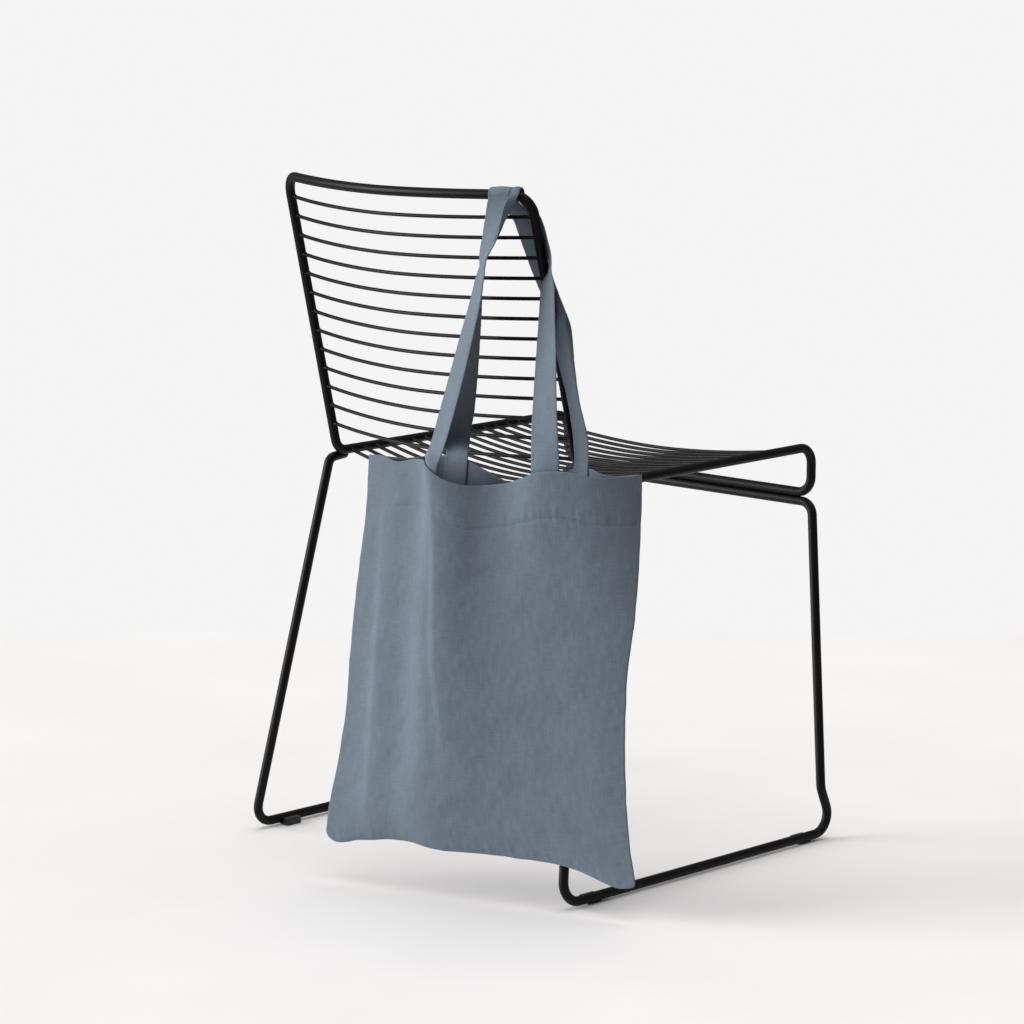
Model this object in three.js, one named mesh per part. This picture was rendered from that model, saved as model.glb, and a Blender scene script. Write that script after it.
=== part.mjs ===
// A linen tote bag hanging by both handles from the top rail of a black wire side chair.
// Millimetres, +Z up. X runs across the chair, Y points to the chair's front.
// While it is built, X = 0 is the chair's middle and Y = 0 its two rear seat corners.
// At the end the whole is moved so that its box stands centred on the origin.
import * as THREE from 'three';

// Steel chair: round rods, thin wires between them, plastic glides
const ROD = 11;
const WIRE = 4.2;
const GAP = 0.35;
const ROD_SIDES = 8;
const WIRE_SIDES = 6;
const BEND_STEPS = 5;

const BACK = {
  halfWidth: 195, y: -78, z: 784.5, bow: 42, sag: 3.5, bowPower: 1.8,
  cornerRadius: 25, cornerReach: 32, steps: 8,
};
const SEAT = { halfWidth: 198.3, rearZ: 455, frontY: 395, frontZ: 459.3, bendRadius: 30 };
const APRON = { z: 403, bendRadius: 20 };
const BASE = {
  stubX: 204.2, stubY: 16, legTopY: -7, legTopZ: 446.85, frontTopZ: 392.25,
  footX: 254.2, footRearY: -88.3, footFrontY: 377, runnerZ: 7.5, footRadius: 22,
  kneeY: 353.5, kneeZ: 62, frontTopX: 200, frontTopRadius: 18, stubRadius: 10,
};
const GLIDE = { length: 22, side: 8, height: 9, lip: 1.7, shortLip: 5, inset: 52 };

const BACK_WIRES = { count: 13, first: 25.6, pitch: 23.2, bowTop: 43, bowLow: 31, sag: 5, power: 1.8 };
const SEAT_WIRES = {
  count: 17, frontY: 339.5, pitch: 20.1, sagRear: 28, sagFront: 15, power: 1.85, steps: 8,
};

// Linen tote: two panels sewn at the sides and the bottom, two handles sewn inside the hems
const CLOTH = 1.4;
const HEM = { depth: 52, thickness: 2.4, blend: 6 };
const PANEL = { width: 392, columns: 42, rows: 22, seamGap: 0.15 };
// A handle's foot covers whole columns and rows of the panel's grid
const HANDLE = {
  thickness: 1.6, strands: 4, step: 11, sewnRows: 2, seat: 0.6, collar: 0.3, railGap: 0.6,
};

// The bag's own frame: its middle hangs below the rail at (x, y), turned like the rail there,
// and leans out at the bottom until it rests beside the rear leg
const HANG = { x: 155, y: -90, z: 785, turn: 17.4, lean: 2.54, drop: 295.7 };

// Side seams, seen along the bag's own width: down from the top edge, left and right seam
const OUTLINE = [
  { down: 0, left: -152.5, right: 181.5 },
  { down: 50, left: -154.5, right: 181.5 },
  { down: 100, left: -159.5, right: 180.5 },
  { down: 150, left: -166, right: 177.5 },
  { down: 220, left: -172.5, right: 170 },
  { down: 290, left: -177.5, right: 169 },
  { down: 350, left: -186.5, right: 172 },
  { down: 400, left: -197, right: 177 },
  { down: 450, left: -203, right: 187 },
];
// Bottom seam: how far down it lies, across the width
const BOTTOM = [
  { across: 0, down: 436 },
  { across: 0.04, down: 443 },
  { across: 0.11, down: 438 },
  { across: 0.22, down: 431.5 },
  { across: 0.29, down: 431.5 },
  { across: 0.36, down: 436 },
  { across: 0.55, down: 434 },
  { across: 0.77, down: 435.5 },
  { across: 0.86, down: 443 },
  { across: 0.94, down: 453 },
  { across: 1, down: 450 },
];
// Top edges: how far they sag below the handles' feet, across the width
const FRONT_TOP = [
  { across: 0, sag: 0 },
  { across: 0.06, sag: -1 },
  { across: 0.12, sag: 3.5 },
  { across: 0.2, sag: -2 },
  { across: 0.3, sag: 0 },
  { across: 0.37, sag: 14 },
  { across: 0.45, sag: 20 },
  { across: 0.56, sag: 15.5 },
  { across: 0.62, sag: 8 },
  { across: 0.69, sag: -1 },
  { across: 0.78, sag: -3 },
  { across: 0.86, sag: 2 },
  { across: 1, sag: -1.5 },
];
const BACK_TOP = [
  { across: 0, sag: 0 },
  { across: 0.12, sag: 2 },
  { across: 0.2, sag: -1 },
  { across: 0.31, sag: 0 },
  { across: 0.4, sag: 10 },
  { across: 0.5, sag: 22 },
  { across: 0.58, sag: 22 },
  { across: 0.65, sag: 10 },
  { across: 0.7, sag: 2 },
  { across: 0.79, sag: 0 },
  { across: 0.87, sag: 4 },
  { across: 1, sag: -1.5 },
];
// Folds of a panel: place across at the top and at the bottom, reach to the left and the right,
// and rise out of the panel at the levels 0, 0.3, 0.6 and 0.9 of the height
const LEVELS = [0, 0.3, 0.6, 0.9];
const FRONT_FOLDS = [
  { name: 'left handle ridge', top: 0.325, low: 0.29, left: 0.08, right: 0.09, rise: [30, 20, 9, 3] },
  { name: 'mouth sag', top: 0.5, low: 0.5, left: 0.1, right: 0.12, rise: [-12, -6, -3, 0] },
  { name: 'right handle ridge', top: 0.7, low: 0.7, left: 0.09, right: 0.12, rise: [26, 9, 3, 0] },
  { name: 'left roll', top: 0.09, low: 0.075, left: 0.04, right: 0.05, rise: [1, 6, 8, 7] },
  { name: 'left valley', top: 0.19, low: 0.18, left: 0.05, right: 0.06, rise: [-1, -4, -4, -2] },
  { name: 'right roll', top: 0.88, low: 0.87, left: 0.06, right: 0.05, rise: [0, 4, 5, 4] },
];
const BACK_FOLDS = [
  { name: 'left handle ridge', top: 0.22, low: 0.28, left: 0.08, right: 0.09, rise: [17, 8, 3, 0] },
  { name: 'mouth sag', top: 0.5, low: 0.5, left: 0.11, right: 0.11, rise: [-6, -3, 0, 0] },
  { name: 'right handle ridge', top: 0.67, low: 0.72, left: 0.08, right: 0.1, rise: [27, 10, 2, 0] },
  { name: 'left roll', top: 0.1, low: 0.12, left: 0.05, right: 0.07, rise: [0, 3, 4, 3] },
  { name: 'right roll', top: 0.9, low: 0.86, left: 0.07, right: 0.05, rise: [0, 3, 3, 2] },
];
const FRONT_PUFF = [24, 21, 18, 14];
const BACK_PUFF = [22, 15, 10, 8];

// How the bag bellies out between its seams: squareness of the crown and of the folds' ends,
// where it starts to turn under to the bottom seam, and how steeply the cloth may climb
const BELLY = { crown: 2.6, edge: 12, turnUnder: 0.84, steepest: 0.85, sagEnds: 0.4 };

// Free run of the handles: middle of the strap, and where its inner edge points (turn in plan,
// tilt upwards, in degrees). Both cross the rail near its corner, come down on the seat's side
// and go round the outside of the side rod to the bag again. Seen from above on its way up, the
// front one turns half round clockwise and the back one the other way.
const RAIL_CROSSING = { from: 205, to: -25, stops: 10 };
const FRONT_HANDLE = {
  footColumns: [11, 31],
  rise: [
    { x: 124, y: -152.4, z: 508, turn: 339, tilt: 0, width: 36 },
    { x: 132.9, y: -143.6, z: 551, turn: 340, tilt: 0, width: 36 },
    { x: 140.5, y: -136, z: 591, turn: 339, tilt: 0, width: 36 },
    { x: 147.6, y: -128.8, z: 631, turn: 336, tilt: 0, width: 36 },
    { x: 154, y: -122.1, z: 668, turn: 332, tilt: 0, width: 36 },
    { x: 158, y: -118.2, z: 696, turn: 327, tilt: 0, width: 35 },
    { x: 165, y: -117.5, z: 717, turn: 319, tilt: 0, width: 31 },
    { x: 177.5, y: -113, z: 738, turn: 312, tilt: 0, width: 24 },
    { x: 180.5, y: -105.5, z: 758, turn: 296, tilt: 0, width: 17 },
    { x: 181.5, y: -99, z: 771, turn: 262, tilt: 8, width: 12 },
  ],
  rail: { x: 180.8, width: -8.4 },
  fall: [
    { x: 183.4, y: -71, z: 770.6, turn: 195, tilt: -10, width: 10 },
    { x: 188.4, y: -64, z: 757, turn: 190, tilt: -22, width: 14 },
    { x: 192.6, y: -60.3, z: 743, turn: 182, tilt: -30, width: 14 },
    { x: 198.6, y: -58.1, z: 729, turn: 146, tilt: -36, width: 18 },
    { x: 207.4, y: -60.8, z: 715, turn: 137, tilt: -24, width: 24 },
    { x: 215.3, y: -70, z: 701, turn: 140, tilt: -10, width: 32 },
    { x: 217.5, y: -74.5, z: 690, turn: 154, tilt: -3, width: 36 },
    { x: 220, y: -78, z: 674, turn: 159, tilt: 0, width: 36 },
    { x: 223.7, y: -82.5, z: 650, turn: 163, tilt: 0, width: 36 },
    { x: 230.6, y: -91, z: 610, turn: 171, tilt: 0, width: 36 },
    { x: 238, y: -100.4, z: 568, turn: 178, tilt: 0, width: 36 },
    { x: 245.3, y: -108.3, z: 529, turn: 187, tilt: 0, width: 36 },
  ],
};
const BACK_HANDLE = {
  footColumns: [12, 31],
  rise: [
    { x: 91, y: -92.5, z: 506, turn: 58, tilt: 0, width: 36 },
    { x: 94.5, y: -93.5, z: 521, turn: 61, tilt: 0, width: 36 },
    { x: 100.3, y: -93, z: 535, turn: 74, tilt: 0, width: 36 },
    { x: 113.1, y: -92.5, z: 577, turn: 100, tilt: 0, width: 36 },
    { x: 122.6, y: -94.7, z: 624, turn: 108, tilt: 0, width: 36 },
    { x: 131, y: -96, z: 665, turn: 119, tilt: 0, width: 36 },
    { x: 137, y: -96.5, z: 693, turn: 134, tilt: 0, width: 34 },
    { x: 141.2, y: -97, z: 715, turn: 148, tilt: 0, width: 32 },
    { x: 151.5, y: -98, z: 737, turn: 164, tilt: 0, width: 29 },
    { x: 159.5, y: -98.5, z: 758, turn: 180, tilt: 0, width: 27 },
    { x: 163, y: -97.5, z: 772, turn: 192, tilt: 0, width: 26 },
  ],
  rail: { x: 162.8, width: -25.4 },
  fall: [
    { x: 163.2, y: -76.2, z: 770.8, turn: 197, tilt: -10, width: 23.5 },
    { x: 171, y: -66, z: 758, turn: 192, tilt: -14, width: 26 },
    { x: 172.1, y: -58, z: 744, turn: 190, tilt: -17, width: 29 },
    { x: 175.3, y: -51, z: 724, turn: 185, tilt: -19, width: 31 },
    { x: 179.6, y: -46.5, z: 701, turn: 171, tilt: -20, width: 32 },
    { x: 187, y: -42, z: 678, turn: 165, tilt: -18, width: 33 },
    { x: 199.5, y: -40.7, z: 659, turn: 160, tilt: -8, width: 35 },
    { x: 214.4, y: -44.2, z: 644, turn: 155, tilt: 0, width: 36 },
    { x: 217, y: -43.6, z: 629, turn: 153, tilt: 0, width: 36 },
    { x: 220.3, y: -43.4, z: 602, turn: 151, tilt: 0, width: 36 },
    { x: 225.7, y: -40.8, z: 561, turn: 150, tilt: 0, width: 36 },
    { x: 232.5, y: -38.8, z: 520, turn: 160, tilt: 0, width: 36 },
  ],
};

const steel = new THREE.MeshStandardMaterial({ color: '#1c1b1a', roughness: 0.5, metalness: 0.3 });
const plastic = new THREE.MeshStandardMaterial({ color: '#18181a', roughness: 0.6, metalness: 0 });
const linen = new THREE.MeshStandardMaterial({ color: '#66707f', roughness: 0.95, metalness: 0 });

const part = new THREE.Group();

function add(name, geometry, material) {
  const mesh = new THREE.Mesh(geometry, material);
  mesh.name = name;
  part.add(mesh);
}

// Small maths helpers
const clamp01 = (t) => Math.min(1, Math.max(0, t));
const mix = (a, b, t) => a + (b - a) * t;
const smooth = (t) => clamp01(t) ** 2 * (3 - 2 * clamp01(t));

// Value of a column at x, on a smooth curve through the rows of a table
function along(rows, key, column, x) {
  let i = rows.findIndex((row) => row[key] > x) - 1;
  if (i < 0) i = x < rows[0][key] ? 0 : rows.length - 2;
  const slope = (k) => {
    const a = rows[Math.max(0, k - 1)];
    const b = rows[Math.min(rows.length - 1, k + 1)];
    return (b[column] - a[column]) / (b[key] - a[key]);
  };
  const [p, q] = [rows[i], rows[i + 1]];
  const span = q[key] - p[key];
  const t = clamp01((x - p[key]) / span);
  const h = t * t * (3 - 2 * t);
  return (
    mix(p[column], q[column], h) +
    span * slope(i) * t * (1 - t) * (1 - t) -
    span * slope(i + 1) * t * t * (1 - t)
  );
}

// A rod's centre line: straight runs, with each corner turned on its own radius
class RodPath extends THREE.Curve {
  constructor(points, closed = false) {
    super();
    this.points = points;
    this.closed = closed;
    this.steps = closed ? points.length : points.length - 1;
  }
  at(i) {
    const n = this.points.length;
    return this.points[this.closed ? (i + n) % n : Math.min(n - 1, Math.max(0, i))];
  }
  getPoint(t, target = new THREE.Vector3()) {
    const s = t * this.steps;
    const i = Math.min(Math.floor(s), this.steps - 1);
    return target.copy(this.at(i)).lerp(this.at(i + 1), s - i);
  }
  getPointAt(u, target) {
    return this.getPoint(u, target);
  }
  getTangentAt(u, target = new THREE.Vector3()) {
    const i = Math.round(u * this.steps);
    return target.copy(this.at(i + 1)).sub(this.at(i - 1)).normalize();
  }
}

// Rounds the corners of a run of points; a corner without a radius stays as it is
function roundedRun(corners, closed = false) {
  const run = [];
  corners.forEach(({ at, radius = 0 }, i) => {
    if (!radius) {
      run.push(at);
      return;
    }
    const n = corners.length;
    const before = corners[(i - 1 + n) % n].at.clone().sub(at).normalize();
    const after = corners[(i + 1) % n].at.clone().sub(at).normalize();
    const half = before.angleTo(after) / 2;
    const centre = before.clone().add(after).normalize().multiplyScalar(radius / Math.sin(half)).add(at);
    const from = before.clone().multiplyScalar(radius / Math.tan(half)).add(at).sub(centre);
    const to = after.clone().multiplyScalar(radius / Math.tan(half)).add(at).sub(centre);
    const axis = from.clone().cross(to).normalize();
    const turn = from.angleTo(to);
    for (let k = 0; k <= BEND_STEPS; k++) {
      run.push(from.clone().applyAxisAngle(axis, (turn * k) / BEND_STEPS).add(centre));
    }
  });
  return new RodPath(run, closed);
}

function roundSection(diameter, sides) {
  const shape = new THREE.Shape();
  for (let k = 0; k < sides; k++) {
    const angle = (2 * Math.PI * (k + 0.5)) / sides;
    const [x, y] = [Math.cos(angle) * diameter / 2, Math.sin(angle) * diameter / 2];
    if (k) shape.lineTo(x, y);
    else shape.moveTo(x, y);
  }
  shape.closePath();
  return shape;
}

function openRod(path, diameter, sides) {
  return new THREE.ExtrudeGeometry(roundSection(diameter, sides), {
    steps: path.steps, extrudePath: path, curveSegments: 1,
  });
}

const point = (x, y, z) => new THREE.Vector3(x, y, z);

// Chair: where its rods run
const backDown = (t) => ({
  x: mix(BACK.halfWidth, SEAT.halfWidth, t),
  y: mix(BACK.y, 0, t),
  z: mix(BACK.z, SEAT.rearZ, t),
});
const BACK_LENGTH = Math.hypot(BACK.y, BACK.z - SEAT.rearZ);
const railDip = (x) => 1 - (Math.abs(x) / BACK.halfWidth) ** BACK.bowPower;
const seatZ = (y) => mix(SEAT.rearZ, SEAT.frontZ, y / SEAT.frontY);

function framePath() {
  const corners = [];
  const reach = BACK.halfWidth - BACK.cornerReach;
  for (let k = 0; k <= BACK.steps; k++) {
    const x = mix(-reach, reach, k / BACK.steps);
    corners.push({ at: point(x, BACK.y - BACK.bow * railDip(x), BACK.z - BACK.sag * railDip(x)) });
  }
  const right = [
    { at: point(BACK.halfWidth, BACK.y, BACK.z), radius: BACK.cornerRadius },
    { at: point(SEAT.halfWidth, 0, SEAT.rearZ), radius: SEAT.bendRadius },
    { at: point(SEAT.halfWidth, SEAT.frontY, SEAT.frontZ), radius: APRON.bendRadius },
    { at: point(SEAT.halfWidth, SEAT.frontY, APRON.z), radius: APRON.bendRadius },
  ];
  const mirrored = ({ at, radius }) => ({ at: point(-at.x, at.y, at.z), radius });
  return roundedRun([...corners, ...right, ...right.map(mirrored).reverse()], true);
}
const FRAME_PATH = framePath();

// Middle of the top rail at x, and the rail's direction there
function railAt(x) {
  const points = FRAME_PATH.points;
  const i = points.findIndex((p, k) => k && p.x >= x) - 1;
  const direction = points[i + 1].clone().sub(points[i]);
  const centre = points[i].clone().addScaledVector(direction, (x - points[i].x) / direction.x);
  return { centre, direction };
}

function seatAndBackFrame() {
  const path = FRAME_PATH;
  add('seat_back_frame', new THREE.TubeGeometry(path, path.steps, ROD / 2, ROD_SIDES, true), steel);
}

function sledBase() {
  const right = [
    { at: point(BASE.frontTopX, SEAT.frontY, BASE.frontTopZ), radius: BASE.frontTopRadius },
    { at: point(BASE.footX, BASE.kneeY, BASE.kneeZ), radius: BASE.footRadius },
    { at: point(BASE.footX, BASE.footFrontY, BASE.runnerZ), radius: BASE.footRadius },
    { at: point(BASE.footX, BASE.footRearY, BASE.runnerZ), radius: BASE.footRadius },
    { at: point(BASE.stubX, BASE.legTopY, BASE.legTopZ), radius: BASE.stubRadius },
    { at: point(BASE.stubX, BASE.stubY, BASE.legTopZ) },
  ];
  const mirrored = ({ at, radius }) => ({ at: point(-at.x, at.y, at.z), radius });
  const path = roundedRun([...right.map(mirrored).reverse(), ...right]);
  add('sled_base', openRod(path, ROD, ROD_SIDES), steel);
}

// A wire butts against the inner side of both side rods, dips or bows in between
function crossWire(name, end, bow, sag, power) {
  const points = [];
  for (let k = 0; k <= SEAT_WIRES.steps; k++) {
    const u = mix(-1, 1, k / SEAT_WIRES.steps);
    const dip = 1 - Math.abs(u) ** power;
    points.push(point(u * end.x, end.y - bow * dip, end.z - sag * dip));
  }
  add(name, openRod(new RodPath(points), WIRE, WIRE_SIDES), steel);
}

function backWires() {
  const { count, first, pitch, bowTop, bowLow, sag, power } = BACK_WIRES;
  for (let i = 0; i < count; i++) {
    const t = (first + i * pitch) / BACK_LENGTH;
    const rod = backDown(t);
    const end = { x: rod.x - ROD / 2 - GAP, y: rod.y, z: rod.z };
    crossWire(`back_wire_${i + 1}`, end, mix(bowTop, bowLow, t), sag, power);
  }
}

function seatWires() {
  const { count, frontY, pitch, sagRear, sagFront, power } = SEAT_WIRES;
  for (let i = 0; i < count; i++) {
    const y = frontY - i * pitch;
    const end = { x: SEAT.halfWidth - ROD / 2 - GAP, y, z: seatZ(y) };
    crossWire(`seat_wire_${i + 1}`, end, 0, mix(sagRear, sagFront, y / frontY), power);
  }
}

// A glide is clipped on the inner side of a runner, with a lip under the rod
function glides() {
  const { length, side, height, lip, shortLip, inset } = GLIDE;
  const rodSide = ROD / 2 + GAP;
  for (const [sideName, hand] of [['left', -1], ['right', 1]]) {
    for (const [endName, y] of [['rear', BASE.footRearY + inset], ['front', BASE.footFrontY - inset]]) {
      const section = new THREE.Shape();
      section.moveTo(-rodSide - side, 0);
      section.lineTo(rodSide - shortLip, 0);
      section.lineTo(rodSide - shortLip, lip);
      section.lineTo(-rodSide, lip);
      section.lineTo(-rodSide, height);
      section.lineTo(-rodSide - side, height);
      section.closePath();
      const block = new THREE.ExtrudeGeometry(section, { depth: length, bevelEnabled: false });
      block.rotateX(Math.PI / 2);
      if (hand < 0) block.rotateZ(Math.PI);
      block.translate(hand * BASE.footX, y + (hand > 0 ? length / 2 : -length / 2), 0);
      add(`glide_${sideName}_${endName}`, block, plastic);
    }
  }
}

// Bag: its frame and its two panels
const turn = THREE.MathUtils.degToRad(HANG.turn);
const lean = THREE.MathUtils.degToRad(HANG.lean);
const ACROSS = point(Math.cos(turn), Math.sin(turn), 0);
const OUT = point(Math.sin(turn) * Math.cos(lean), -Math.cos(turn) * Math.cos(lean), Math.sin(lean));
const DOWN = OUT.clone().cross(ACROSS).normalize();
if (DOWN.z > 0) DOWN.negate();
const inBag = (a, out, down) =>
  point(HANG.x, HANG.y, HANG.z)
    .addScaledVector(ACROSS, a)
    .addScaledVector(OUT, out)
    .addScaledVector(DOWN, HANG.drop + down);

function level(values, v) {
  const rows = LEVELS.map((at, i) => ({ at, value: values[i] }));
  return along(rows, 'at', 'value', Math.min(v, LEVELS[LEVELS.length - 1]));
}

// How far a panel stands out of the bag's middle plane, u across and v down from 0 to 1
function relief(folds, puff, u, v) {
  const edge = 1 - Math.abs(2 * u - 1) ** BELLY.edge;
  const crown = 1 - Math.abs(2 * u - 1) ** BELLY.crown;
  const low = clamp01((v - BELLY.turnUnder) / (1 - BELLY.turnUnder));
  const bottom = Math.sqrt(1 - low * low);
  let out = level(puff, v) * crown;
  for (const fold of folds) {
    const off = u - mix(fold.top, fold.low, v);
    const reach = off < 0 ? fold.left : fold.right;
    out += level(fold.rise, v) * Math.exp(-((off / reach) ** 2)) * edge;
  }
  return out * bottom;
}

const thicknessAt = (down) =>
  mix(HEM.thickness, CLOTH, smooth((down - HEM.depth + HEM.blend / 2) / HEM.blend));

// A panel's middle surface as rows of points; the cloth keeps its width along its folds
function panelRow(side, v, columns) {
  const [folds, puff, top] =
    side > 0 ? [FRONT_FOLDS, FRONT_PUFF, FRONT_TOP] : [BACK_FOLDS, BACK_PUFF, BACK_TOP];
  const out = [];
  const place = [0];
  for (let i = 0; i <= columns; i++) {
    out.push(relief(folds, puff, i / columns, v));
    if (i) {
      const step = PANEL.width / columns;
      const climb = Math.min(Math.abs(out[i] - out[i - 1]), BELLY.steepest * step);
      place.push(place[i - 1] + Math.sqrt(step * step - climb * climb));
    }
  }
  return out.map((rise, i) => {
    const u = i / columns;
    const sag = along(top, 'across', 'sag', u) * (1 - smooth(v / BELLY.sagEnds));
    const down = sag + v * along(BOTTOM, 'across', 'down', u);
    const across = mix(
      along(OUTLINE, 'down', 'left', down),
      along(OUTLINE, 'down', 'right', down),
      place[i] / place[columns],
    );
    const seam = PANEL.seamGap + thicknessAt(down) / 2;
    return { at: inBag(across, side * (seam + rise), down), thickness: thicknessAt(down) };
  });
}

// Unit normals of a grid of points, to the side that faces away from the grid's back
function gridNormals(grid, outward) {
  const clamped = (list, i) => list[Math.min(list.length - 1, Math.max(0, i))];
  return grid.map((row, r) =>
    row.map((_, c) => {
      const across = clamped(row, c + 1).clone().sub(clamped(row, c - 1));
      const down = clamped(grid, r + 1)[c].clone().sub(clamped(grid, r - 1)[c]);
      return down.cross(across).normalize().multiplyScalar(outward);
    }),
  );
}

// A closed thin sheet around a grid of middle points
function sheet(grid, thicknessOf, outward) {
  const [rows, columns] = [grid.length, grid[0].length];
  const normals = gridNormals(grid, outward);
  const positions = [];
  for (const face of [1, -1]) {
    for (let r = 0; r < rows; r++) {
      for (let c = 0; c < columns; c++) {
        const off = (face * thicknessOf(r, c)) / 2;
        positions.push(...grid[r][c].clone().addScaledVector(normals[r][c], off));
      }
    }
  }
  const back = rows * columns;
  const id = (r, c) => r * columns + c;
  const triangles = [];
  const quad = (a, b, c, d) => {
    if (outward > 0) triangles.push(a, b, c, a, c, d);
    else triangles.push(a, c, b, a, d, c);
  };
  for (let r = 0; r < rows - 1; r++) {
    for (let c = 0; c < columns - 1; c++) {
      quad(id(r, c), id(r + 1, c), id(r + 1, c + 1), id(r, c + 1));
      quad(back + id(r, c), back + id(r, c + 1), back + id(r + 1, c + 1), back + id(r + 1, c));
    }
  }
  const [endRow, endColumn] = [rows - 1, columns - 1];
  for (let c = 0; c < endColumn; c++) {
    quad(id(0, c), id(0, c + 1), back + id(0, c + 1), back + id(0, c));
    quad(id(endRow, c + 1), id(endRow, c), back + id(endRow, c), back + id(endRow, c + 1));
  }
  for (let r = 0; r < endRow; r++) {
    quad(id(r + 1, 0), id(r, 0), back + id(r, 0), back + id(r + 1, 0));
    quad(id(r, endColumn), id(r + 1, endColumn), back + id(r + 1, endColumn), back + id(r, endColumn));
  }
  const geometry = new THREE.BufferGeometry();
  geometry.setAttribute('position', new THREE.Float32BufferAttribute(positions, 3));
  geometry.setIndex(triangles);
  return geometry;
}

function panelGrid(side) {
  const cells = [...Array(PANEL.rows + 1).keys()].map((r) => panelRow(side, r / PANEL.rows, PANEL.columns));
  const middle = cells.map((row) => row.map((cell) => cell.at));
  return { cells, middle, normals: gridNormals(middle, side) };
}
const PANELS = { front: panelGrid(1), back: panelGrid(-1) };

function panel(name, { cells, middle }, side) {
  add(name, sheet(middle, (r, c) => cells[r][c].thickness, side), linen);
}

// One section of a handle, as a row of points from its outer edge to its inner edge
const strands = [...Array(HANDLE.strands + 1).keys()].map((j) => j / HANDLE.strands - 0.5);

// Inside the hem, on the panel's own grid; hand -1 is the left foot, 1 the right one
function footSection({ cells, middle, normals }, centre, hand, row) {
  return strands.map((j) => {
    const column = centre - hand * j * HANDLE.strands;
    const off = cells[row][column].thickness / 2 + HANDLE.seat + HANDLE.thickness / 2;
    return middle[row][column].clone().addScaledVector(normals[row][column], -off);
  });
}

function freeSection({ x, y, z, turn: turned, tilt, width }) {
  const [a, b] = [THREE.MathUtils.degToRad(turned), THREE.MathUtils.degToRad(tilt)];
  const inner = point(Math.cos(a) * Math.cos(b), Math.sin(a) * Math.cos(b), Math.sin(b));
  return strands.map((j) => point(x, y, z).addScaledVector(inner, j * width));
}

// Over the rail: seated on it all round, from the bag's side to the seat's side
function railSections({ x, width }) {
  const { from, to, stops } = RAIL_CROSSING;
  const step = THREE.MathUtils.degToRad((from - to) / (stops - 1));
  const reach = (ROD / 2 + HANDLE.railGap + HANDLE.thickness / 2) / Math.cos(step / 2);
  return [...Array(stops).keys()].map((k) => {
    const angle = THREE.MathUtils.degToRad(from) - k * step;
    return strands.map((j) => {
      const { centre, direction } = railAt(x + j * width);
      const seatward = point(-direction.y, direction.x, 0).normalize();
      const up = direction.clone().normalize().cross(seatward);
      const off = seatward.multiplyScalar(Math.cos(angle)).addScaledVector(up, Math.sin(angle));
      return centre.addScaledVector(off, reach);
    });
  });
}

// A foot's sections from its end above the hem down to its sewn end
function foot(carrier, centre, hand) {
  const count = HANDLE.sewnRows + 1;
  const rows = [...Array(count).keys()].map((row) => footSection(carrier, centre, hand, row));
  const collar = rows[0].map((p, j) => p.clone().addScaledVector(p.clone().sub(rows[1][j]), HANDLE.collar));
  return [collar, ...rows];
}

function handle(name, carrier, { footColumns, rise, rail, fall }) {
  const sections = [
    ...foot(carrier, footColumns[0], -1).reverse(),
    ...rise.map(freeSection),
    ...railSections(rail),
    ...fall.map(freeSection),
    ...foot(carrier, footColumns[1], 1),
  ];
  const curves = strands.map(
    (_, c) => new THREE.CatmullRomCurve3(sections.map((row) => row[c]), false, 'centripetal'),
  );
  const last = sections.length - 1;
  const middle = HANDLE.strands / 2;
  const grid = [];
  for (let i = 0; i < last; i++) {
    const span = sections[i][middle].distanceTo(sections[i + 1][middle]);
    const sewn = i < HANDLE.sewnRows || i >= last - HANDLE.sewnRows;
    const steps = sewn ? 1 : Math.max(1, Math.round(span / HANDLE.step));
    for (let k = 0; k < steps; k++) {
      grid.push(curves.map((curve) => curve.getPoint((i + k / steps) / last)));
    }
  }
  grid.push(curves.map((curve) => curve.getPoint(1)));
  add(name, sheet(grid, () => HANDLE.thickness, 1), linen);
}

seatAndBackFrame();
sledBase();
backWires();
seatWires();
glides();
panel('bag_front_panel', PANELS.front, 1);
panel('bag_back_panel', PANELS.back, -1);
handle('front_handle', PANELS.front, FRONT_HANDLE);
handle('back_handle', PANELS.back, BACK_HANDLE);

const box = new THREE.Box3().setFromObject(part);
const middle = box.getCenter(new THREE.Vector3());
part.position.set(-middle.x, -middle.y, -box.min.z);

export default part;
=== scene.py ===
import math

import bpy
import numpy as np
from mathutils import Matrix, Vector


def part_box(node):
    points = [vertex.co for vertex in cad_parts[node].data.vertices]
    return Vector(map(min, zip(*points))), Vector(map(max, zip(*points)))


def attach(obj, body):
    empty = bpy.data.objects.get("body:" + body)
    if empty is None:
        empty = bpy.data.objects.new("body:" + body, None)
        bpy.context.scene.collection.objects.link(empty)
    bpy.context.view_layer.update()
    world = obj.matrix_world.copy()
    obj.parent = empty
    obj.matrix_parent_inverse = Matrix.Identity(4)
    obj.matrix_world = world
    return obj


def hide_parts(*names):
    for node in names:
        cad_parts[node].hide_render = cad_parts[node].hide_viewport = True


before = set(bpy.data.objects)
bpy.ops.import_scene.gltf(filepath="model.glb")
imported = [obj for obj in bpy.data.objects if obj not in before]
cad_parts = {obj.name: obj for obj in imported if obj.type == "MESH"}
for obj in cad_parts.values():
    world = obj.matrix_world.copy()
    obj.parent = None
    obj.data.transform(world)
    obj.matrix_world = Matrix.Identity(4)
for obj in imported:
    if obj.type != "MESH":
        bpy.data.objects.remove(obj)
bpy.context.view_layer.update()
bpy.ops.object.select_all(action="DESELECT")


def table(columns, *rows):
    """Rows as dicts, by the names of their columns."""
    return [dict(zip(columns, row)) for row in rows]


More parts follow.
